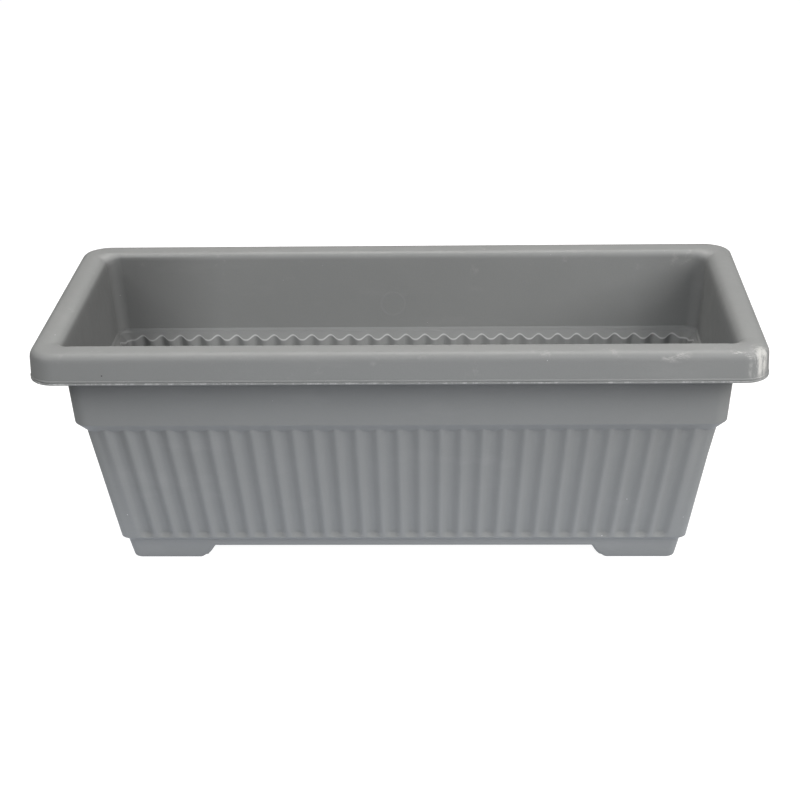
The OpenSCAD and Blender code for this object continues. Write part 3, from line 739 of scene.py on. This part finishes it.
def build_felt(node, body, seed):
    """A soft strip of felt, folded down into its cup, with lifting tails and uneven, fibrous edges."""
    rng = random.Random(seed)
    low, high = [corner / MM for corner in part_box(node)]
    mid = (low + high) / 2
    half_w = (high.x - low.x) / 2 - 0.5
    reach = (high.y - low.y) / 2 - 0.8
    line = felt_line(reach, high.z - 1.5, low.z + 1.5)
    phase = [rng.uniform(0, math.tau) for _ in range(6)]
    points, faces = [], []
    for i, here in enumerate(line):
        ahead = (line[min(i + 1, len(line) - 1)] - line[max(i - 1, 0)]).normalized()
        up = Vector((-ahead.y, ahead.x))
        tail = max(0.0, (abs(here.x) - FOLD_TOP - 4) / (reach - FOLD_TOP))
        end = min(i, len(line) - 1 - i)
        close = math.sqrt(1 - (1 - min(1.0, end / 3.0)) ** 2) if end < 3 else 1.0
        drift = 0.5 * math.sin(here.x / 17 + phase[0]) * (1 - 0.3 * tail)
        for k in range(RING_POINTS):
            a = math.tau * k / RING_POINTS
            c, s = math.cos(a), math.sin(a)
            across = math.copysign(abs(c) ** 0.35, c)
            half_t = (FELT_HALF_T - 0.3 * abs(across) ** 6) * (0.35 + 0.65 * close)
            thick = math.copysign(abs(s) ** 0.7, s) * half_t
            fray = 0.32 * math.sin(here.x * 1.9 + phase[1]) * math.sin(here.x * 0.83 + phase[2] + 2 * c)
            x = across * (half_w - 0.5 + fray * abs(across) ** 8 - 1.6 * (1 - close)) + drift
            wave = 1.5 * tail * (1 + math.sin(here.x / 9 + x / 14 + phase[3]))
            curl = 1.6 * tail * (x / half_w) ** 2 + 0.12 * math.sin(x * 0.9 + here.x * 0.5 + phase[4])
            lift = thick + (wave + curl if tail > 0 else 0.12 * math.sin(x * 0.9 + phase[4]))
            y, z = mid.y + here.x + up.x * lift, here.y + up.y * lift
            points.append(((mid.x + x) * MM, y * MM, z * MM))
    rings = len(line)
    for i in range(rings - 1):
        a, b = i * RING_POINTS, (i + 1) * RING_POINTS
        for k in range(RING_POINTS):
            m = (k + 1) % RING_POINTS
            faces.append((a + k, a + m, b + m, b + k))
    faces.append(tuple(range(RING_POINTS - 1, -1, -1)))
    faces.append(tuple(range((rings - 1) * RING_POINTS, rings * RING_POINTS)))
    return new_mesh(node + "_soft", points, faces, MATERIALS["felt"], body, (node,))


build_felt("felt_wick_left", "wick_left", 4)
build_felt("felt_wick_right", "wick_right", 9)

# ---------------------------------------------------------------- carried-over CAD nodes

SLOTS = {part["node"]: part["material_slot"] for part in frame["record"]["subparts"]}
# Width in metres of the moulded radius on the edges of a carried-over node, where it is not the usual one
EDGE_RADIUS = 0.0003
EDGE_RADII = {"lid_hinge_pin": 0.0002, "gauge_float": 0.0008, "level_flag": 0.0005}

for node, obj in frame["nodes"].items():
    if obj.hide_render:
        continue
    obj.data.materials.clear()
    obj.data.materials.append(MATERIALS[SLOTS[node]])
    bevel = obj.modifiers.new("moulded_edges", "BEVEL")
    bevel.width = EDGE_RADII.get(node, EDGE_RADIUS)
    bevel.segments = 2
    bevel.limit_method = "ANGLE"
    bevel.angle_limit = math.radians(35)
    bevel.harden_normals = True

# ---------------------------------------------------------------- studio

# Light from the surroundings; the camera sees them as white
WORLD_LIGHT = 0.03
# The white sweep: its own tone, the glow of its lit patch round the object, and what the camera sees of it
FLOOR_TONE, FLOOR_GLOW, FLOOR_SEEN = 0.25, 1.02, 0.96
FLOOR_TINT = (0.93, 0.98, 1.08, 1.0)
# Half the floor's side, and how far it lies under the feet's plane
FLOOR_HALF, FLOOR_GAP = 6.0, 0.0005
# Radii in metres at which the lit patch starts to fade and has faded away
GLOW_FADE = (0.32, 0.50)
# The patch is dark under the planter: half sizes of the dark area, and where the glow starts and is full
UNDER = (0.24, 0.08)
UNDER_FADE = (-0.05, 0.02)
LIGHT_DISTANCE, LIGHT_SIZE, LIGHT_TARGET = 1.7, (1.2, 0.9), (0.0, 0.0, 0.11)
# Softboxes: azimuth from the front toward +X, elevation, power in watts, tint
SOFTBOXES = {
    "right": (60, 30, 26.5, (1.01, 1.0, 0.985)),
    "left": (-60, 40, 12.0, (1.01, 1.0, 0.985)),
    "back": (180, 66, 25.0, (1.02, 1.0, 0.97)),
    "front": (0, 38, 10.6, (0.975, 1.0, 1.015)),
}


def aim(obj, target):
    """Turns a light to face a point."""
    obj.rotation_euler = (Vector(target) - obj.location).to_track_quat("-Z", "Y").to_euler()


def softbox(name, azimuth, elevation, power, tint):
    """A soft rectangular light on a sphere round the object."""
    a, e = math.radians(azimuth), math.radians(elevation)
    centre = Vector(LIGHT_TARGET)
    light = bpy.data.lights.new(name, "AREA")
    light.shape, light.size, light.size_y = "RECTANGLE", *LIGHT_SIZE
    light.energy, light.color = power, tint
    obj = bpy.data.objects.new(name, light)
    obj.location = centre + LIGHT_DISTANCE * Vector(
        (math.sin(a) * math.cos(e), -math.cos(a) * math.cos(e), math.sin(e))
    )
    bpy.context.scene.collection.objects.link(obj)
    aim(obj, centre)


def floor_material():
    """White sweep, lit round the object; the camera sees it white with a faint contact shadow."""
    n = Nodes("floor_white")
    glow = n.add("ShaderNodeEmission")
    seen = n.add("ShaderNodeLightPath").outputs["Is Camera Ray"]
    away = n.add("ShaderNodeVectorMath", operation="LENGTH")
    n.plug(away.inputs[0], n.coords)
    patch = n.remap(away.outputs["Value"], GLOW_FADE[0], GLOW_FADE[1], FLOOR_GLOW, 0.0)
    split = n.add("ShaderNodeSeparateXYZ")
    n.plug(split.inputs[0], n.coords)
    beside = [n.math("SUBTRACT", n.math("ABSOLUTE", split.outputs[i]), UNDER[i]) for i in (0, 1)]
    open_floor = n.remap(n.math("MAXIMUM", *beside), *UNDER_FADE)
    patch = n.math("MULTIPLY", patch, open_floor)
    n.plug(glow.inputs["Strength"], n.remap(seen, 0.0, 1.0, patch, FLOOR_SEEN))
    n.plug(glow.inputs["Color"], n.mix(seen, FLOOR_TINT, (1.0, 1.0, 1.0, 1.0)))
    both = n.add("ShaderNodeAddShader")
    n.set(Base_Color=grey(FLOOR_TONE), Roughness=0.9, Specular_IOR_Level=0.0)
    n.plug(both.inputs[0], n.bsdf.outputs[0])
    n.plug(both.inputs[1], glow.outputs[0])
    n.plug(n.tree.nodes["Material Output"].inputs["Surface"], both.outputs[0])
    return n.material


def white_world():
    """Dim surroundings that the camera sees as white."""
    world = bpy.data.worlds.new("studio")
    world.use_nodes = True
    tree = world.node_tree
    sky = tree.nodes["Background"]
    sky.inputs["Color"].default_value = (1.0, 1.0, 1.0, 1.0)
    seen = tree.nodes.new("ShaderNodeLightPath").outputs["Is Camera Ray"]
    most = tree.nodes.new("ShaderNodeMath")
    most.operation = "MAXIMUM"
    most.inputs[1].default_value = WORLD_LIGHT
    tree.links.new(seen, most.inputs[0])
    tree.links.new(most.outputs[0], sky.inputs["Strength"])
    return world


def studio():
    """The floor, the surroundings and the softboxes."""
    scene = bpy.context.scene
    scene.view_settings.view_transform = "Standard"
    floor = bpy.data.meshes.new("floor")
    signs = ((-1, -1), (1, -1), (1, 1), (-1, 1))
    floor.from_pydata([(FLOOR_HALF * x, FLOOR_HALF * y, 0) for x, y in signs], [], [(0, 1, 2, 3)])
    floor.materials.append(floor_material())
    ground = bpy.data.objects.new("floor", floor)
    ground.location.z = -FLOOR_GAP
    scene.collection.objects.link(ground)
    scene.world = white_world()
    for name, setting in SOFTBOXES.items():
        softbox(name, *setting)


# Turn, pitch and roll in degrees; lens and sensor width in millimetres; distance and aim in metres
CAMERA_ANGLES = (-2.23, 23.6, -1.1)
CAMERA_LENS = (83.3, 36.0)
CAMERA_DISTANCE, CAMERA_TARGET = 1.6405, (-0.0028, 0.0, 0.1178)


def photo_camera():
    """Camera at the photograph's angle: a turn, a pitch and a small roll about a point above the origin."""
    turn, pitch, roll = [math.radians(angle) for angle in CAMERA_ANGLES]
    target = Vector(CAMERA_TARGET)
    forward = Vector((math.sin(turn) * math.cos(pitch), math.cos(turn) * math.cos(pitch), -math.sin(pitch)))
    right = Vector((math.cos(turn), -math.sin(turn), 0.0))
    up = right.cross(forward)
    side = right * math.cos(roll) + up * math.sin(roll)
    above = up * math.cos(roll) - right * math.sin(roll)
    camera = bpy.data.objects.new("photo_camera", bpy.data.cameras.new("photo_camera"))
    camera.data.lens, camera.data.sensor_width = CAMERA_LENS
    camera.location = target - forward * CAMERA_DISTANCE
    matrix = camera.matrix_world.to_3x3()
    for i, axis in enumerate((side, above, -forward)):
        for k in range(3):
            matrix[k][i] = axis[k]
    camera.rotation_euler = matrix.to_euler()
    bpy.context.scene.collection.objects.link(camera)
    bpy.context.scene.camera = camera


studio()
photo_camera()
